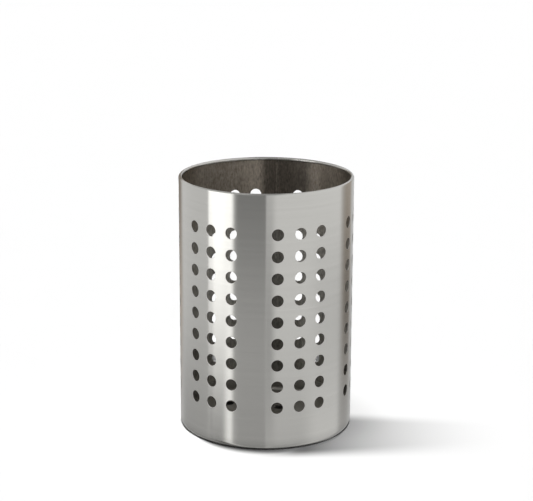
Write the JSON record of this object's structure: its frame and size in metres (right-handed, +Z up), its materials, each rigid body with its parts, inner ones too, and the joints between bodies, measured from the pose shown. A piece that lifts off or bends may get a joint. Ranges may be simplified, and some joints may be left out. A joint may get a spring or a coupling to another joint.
{
  "type": "cutlery holder",
  "caption": "Upright round cutlery holder of perforated stainless steel, with a rolled rim, a rounded foot and a floor with drain holes.",
  "frame": {"origin": "middle of the foot, on the surface that the holder stands on", "axes": "+Z up along the holder's axis, -Y towards the side that the picture shows, +X to the right as seen from there"},
  "size_m": [0.12, 0.12, 0.178],
  "materials": {
    "brushed_wall": "satin, brushed around the wall, duller on the inside",
    "base_steel": "dull rolled sheet",
    "weld_steel": "ground flush outside, as welded inside"
  },
  "bodies": {
    "root": {"perforated_wall": "brushed_wall", "base_pan": "base_steel", "seam_weld": "weld_steel"}
  },
  "joints": []
}
